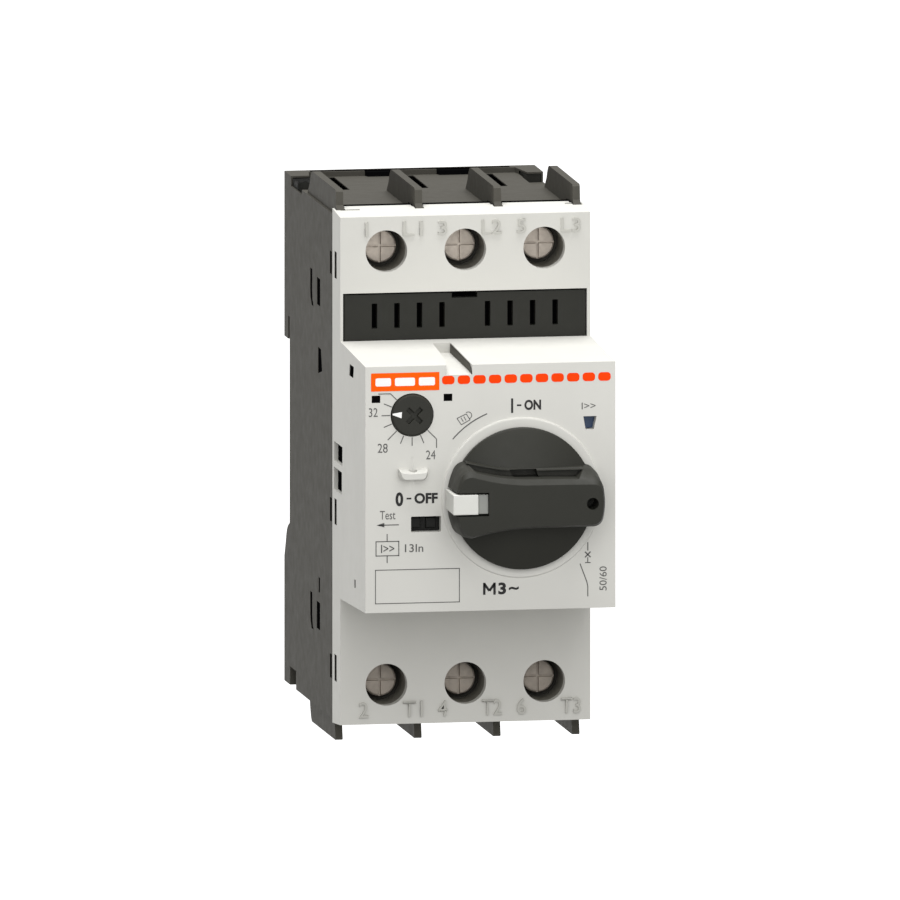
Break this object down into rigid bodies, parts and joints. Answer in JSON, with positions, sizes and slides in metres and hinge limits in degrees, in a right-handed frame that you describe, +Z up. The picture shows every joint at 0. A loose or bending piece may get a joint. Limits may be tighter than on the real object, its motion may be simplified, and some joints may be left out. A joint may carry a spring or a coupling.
{
  "type": "motor protection breaker",
  "caption": "Rail-mounted three-pole motor protection breaker with rotary handle, current dial, test slider, trip window and screw terminals.",
  "frame": {"origin": "centre of the flat seat that rests on the 35 mm top-hat rail", "axes": "+Z up along the line of the poles, +X to the right seen from the front, the front faces -Y, the rail side faces +Y"},
  "size_m": [0.045, 0.0948, 0.0982],
  "materials": {
    "dark_housing": "fine moulded grain",
    "light_cover": "fine moulded satin",
    "slate_cover": "satin",
    "black_control": "satin",
    "navy_flag": "gloss",
    "nickel": "nickel plated",
    "steel": "zinc plated",
    "copper": "bare copper",
    "silver": "silver faced copper",
    "spring_wire": "drawn wire",
    "carrier": "thermoset"
  },
  "bodies": {
    "housing": {"rear_housing": "dark_housing", "front_cover": "light_cover", "accessory_cover": "slate_cover", "mechanism_frame": "steel", "main_spring": "spring_wire", "latch_spring": "spring_wire", "contact_bar_L1": "copper", "contact_bar_L2": "copper", "contact_bar_L3": "copper", "contact_bar_T1": "copper", "contact_bar_T2": "copper", "contact_bar_T3": "copper", "upper_arc_chute_1": "steel", "upper_arc_chute_2": "steel", "upper_arc_chute_3": "steel", "lower_arc_chute_1": "steel", "lower_arc_chute_2": "steel", "lower_arc_chute_3": "steel", "trip_coil_1": "copper", "trip_coil_2": "copper", "trip_coil_3": "copper", "bimetal_1": "steel", "bimetal_2": "steel", "bimetal_3": "steel"},
    "knob": {"rotary_knob": "black_control", "knob_shaft": "steel"},
    "lock_slide": {"lock_slide": "light_cover"},
    "contact_carrier": {"contact_carrier": "carrier", "contact_bridge_1": "silver", "contact_bridge_2": "silver", "contact_bridge_3": "silver"},
    "current_dial": {"current_dial": "black_control"},
    "test_slider": {"test_slider": "black_control"},
    "trip_flag": {"trip_flag": "navy_flag"},
    "trip_bar": {"trip_bar": "black_control"},
    "latch_lever": {"latch_lever": "steel"},
    "rail_latch": {"rail_latch": "dark_housing"},
    "screw_L1": {"terminal_screw_L1": "nickel"},
    "clamp_L1": {"box_clamp_L1": "steel"},
    "screw_L2": {"terminal_screw_L2": "nickel"},
    "clamp_L2": {"box_clamp_L2": "steel"},
    "screw_L3": {"terminal_screw_L3": "nickel"},
    "clamp_L3": {"box_clamp_L3": "steel"},
    "screw_T1": {"terminal_screw_T1": "nickel"},
    "clamp_T1": {"box_clamp_T1": "steel"},
    "screw_T2": {"terminal_screw_T2": "nickel"},
    "clamp_T2": {"box_clamp_T2": "steel"},
    "screw_T3": {"terminal_screw_T3": "nickel"},
    "clamp_T3": {"box_clamp_T3": "steel"},
    "plunger_1": {"trip_plunger_1": "steel"},
    "plunger_2": {"trip_plunger_2": "steel"},
    "plunger_3": {"trip_plunger_3": "steel"}
  },
  "joints": [
    {"name": "knob_turn", "type": "hinge", "parent": "housing", "child": "knob", "pos_m": [0.0055, -0.08, -0.0016], "axis": [0, 1, 0], "range_deg": [0, 90]},
    {"name": "lock_slide_out", "type": "slide", "parent": "knob", "child": "lock_slide", "axis": [-1, 0, 0], "range_m": [0, 0.0045]},
    {"name": "carrier_close", "type": "slide", "parent": "housing", "child": "contact_carrier", "axis": [0, 1, 0], "range_m": [0, 0.0038]},
    {"name": "dial_turn", "type": "hinge", "parent": "housing", "child": "current_dial", "pos_m": [-0.0141, -0.078, 0.0136], "axis": [0, 1, 0], "range_deg": [-140, 40]},
    {"name": "test_slide", "type": "slide", "parent": "housing", "child": "test_slider", "axis": [-1, 0, 0], "range_m": [0, 0.002], "stiffness_N_per_m": 100},
    {"name": "trip_flag_slide", "type": "slide", "parent": "housing", "child": "trip_flag", "axis": [-1, 0, 0], "range_m": [0, 0.0035]},
    {"name": "trip_bar_turn", "type": "hinge", "parent": "housing", "child": "trip_bar", "pos_m": [0, -0.0486, 0.008], "axis": [1, 0, 0], "range_deg": [0, 8], "stiffness_Nm_per_rad": 0.05},
    {"name": "latch_lever_turn", "type": "hinge", "parent": "housing", "child": "latch_lever", "pos_m": [0.0055, -0.056, 0.0075], "axis": [1, 0, 0], "range_deg": [0, 6]},
    {"name": "rail_latch_pull", "type": "slide", "parent": "housing", "child": "rail_latch", "axis": [0, 0, -1], "range_m": [0, 0.004], "stiffness_N_per_m": 800, "deforming": ["latch_spring"]},
    {"name": "screw_turn_L1", "type": "hinge", "parent": "housing", "child": "screw_L1", "pos_m": [-0.0142, -0.045, 0.0393], "axis": [0, -1, 0], "range_deg": [0, 1440]},
    {"name": "clamp_travel_L1", "type": "slide", "parent": "housing", "child": "clamp_L1", "axis": [0, 1, 0], "range_m": [0, 0.0028]},
    {"name": "screw_turn_L2", "type": "hinge", "parent": "housing", "child": "screw_L2", "pos_m": [0, -0.045, 0.0393], "axis": [0, -1, 0], "range_deg": [0, 1440]},
    {"name": "clamp_travel_L2", "type": "slide", "parent": "housing", "child": "clamp_L2", "axis": [0, 1, 0], "range_m": [0, 0.0028]},
    {"name": "screw_turn_L3", "type": "hinge", "parent": "housing", "child": "screw_L3", "pos_m": [0.0142, -0.045, 0.0393], "axis": [0, -1, 0], "range_deg": [0, 1440]},
    {"name": "clamp_travel_L3", "type": "slide", "parent": "housing", "child": "clamp_L3", "axis": [0, 1, 0], "range_m": [0, 0.0028]},
    {"name": "screw_turn_T1", "type": "hinge", "parent": "housing", "child": "screw_T1", "pos_m": [-0.0142, -0.045, -0.0383], "axis": [0, -1, 0], "range_deg": [0, 1440]},
    {"name": "clamp_travel_T1", "type": "slide", "parent": "housing", "child": "clamp_T1", "axis": [0, 1, 0], "range_m": [0, 0.0028]},
    {"name": "screw_turn_T2", "type": "hinge", "parent": "housing", "child": "screw_T2", "pos_m": [0, -0.045, -0.0383], "axis": [0, -1, 0], "range_deg": [0, 1440]},
    {"name": "clamp_travel_T2", "type": "slide", "parent": "housing", "child": "clamp_T2", "axis": [0, 1, 0], "range_m": [0, 0.0028]},
    {"name": "screw_turn_T3", "type": "hinge", "parent": "housing", "child": "screw_T3", "pos_m": [0.0142, -0.045, -0.0383], "axis": [0, -1, 0], "range_deg": [0, 1440]},
    {"name": "clamp_travel_T3", "type": "slide", "parent": "housing", "child": "clamp_T3", "axis": [0, 1, 0], "range_m": [0, 0.0028]},
    {"name": "plunger_stroke_1", "type": "slide", "parent": "housing", "child": "plunger_1", "axis": [0, -1, 0], "range_m": [0, 0.0038], "stiffness_N_per_m": 60},
    {"name": "plunger_stroke_2", "type": "slide", "parent": "housing", "child": "plunger_2", "axis": [0, -1, 0], "range_m": [0, 0.0038], "stiffness_N_per_m": 60},
    {"name": "plunger_stroke_3", "type": "slide", "parent": "housing", "child": "plunger_3", "axis": [0, -1, 0], "range_m": [0, 0.0038], "stiffness_N_per_m": 60}
  ],
  "couplings": [
    {"joint": "knob_turn", "follows": "carrier_close", "rad_per_m": 413.37},
    {"joint": "latch_lever_turn", "follows": "trip_bar_turn", "ratio": 0.75},
    {"joint": "screw_turn_L1", "follows": "clamp_travel_L1", "rad_per_m": 8976},
    {"joint": "screw_turn_L2", "follows": "clamp_travel_L2", "rad_per_m": 8976},
    {"joint": "screw_turn_L3", "follows": "clamp_travel_L3", "rad_per_m": 8976},
    {"joint": "screw_turn_T1", "follows": "clamp_travel_T1", "rad_per_m": 8976},
    {"joint": "screw_turn_T2", "follows": "clamp_travel_T2", "rad_per_m": 8976},
    {"joint": "screw_turn_T3", "follows": "clamp_travel_T3", "rad_per_m": 8976}
  ]
}
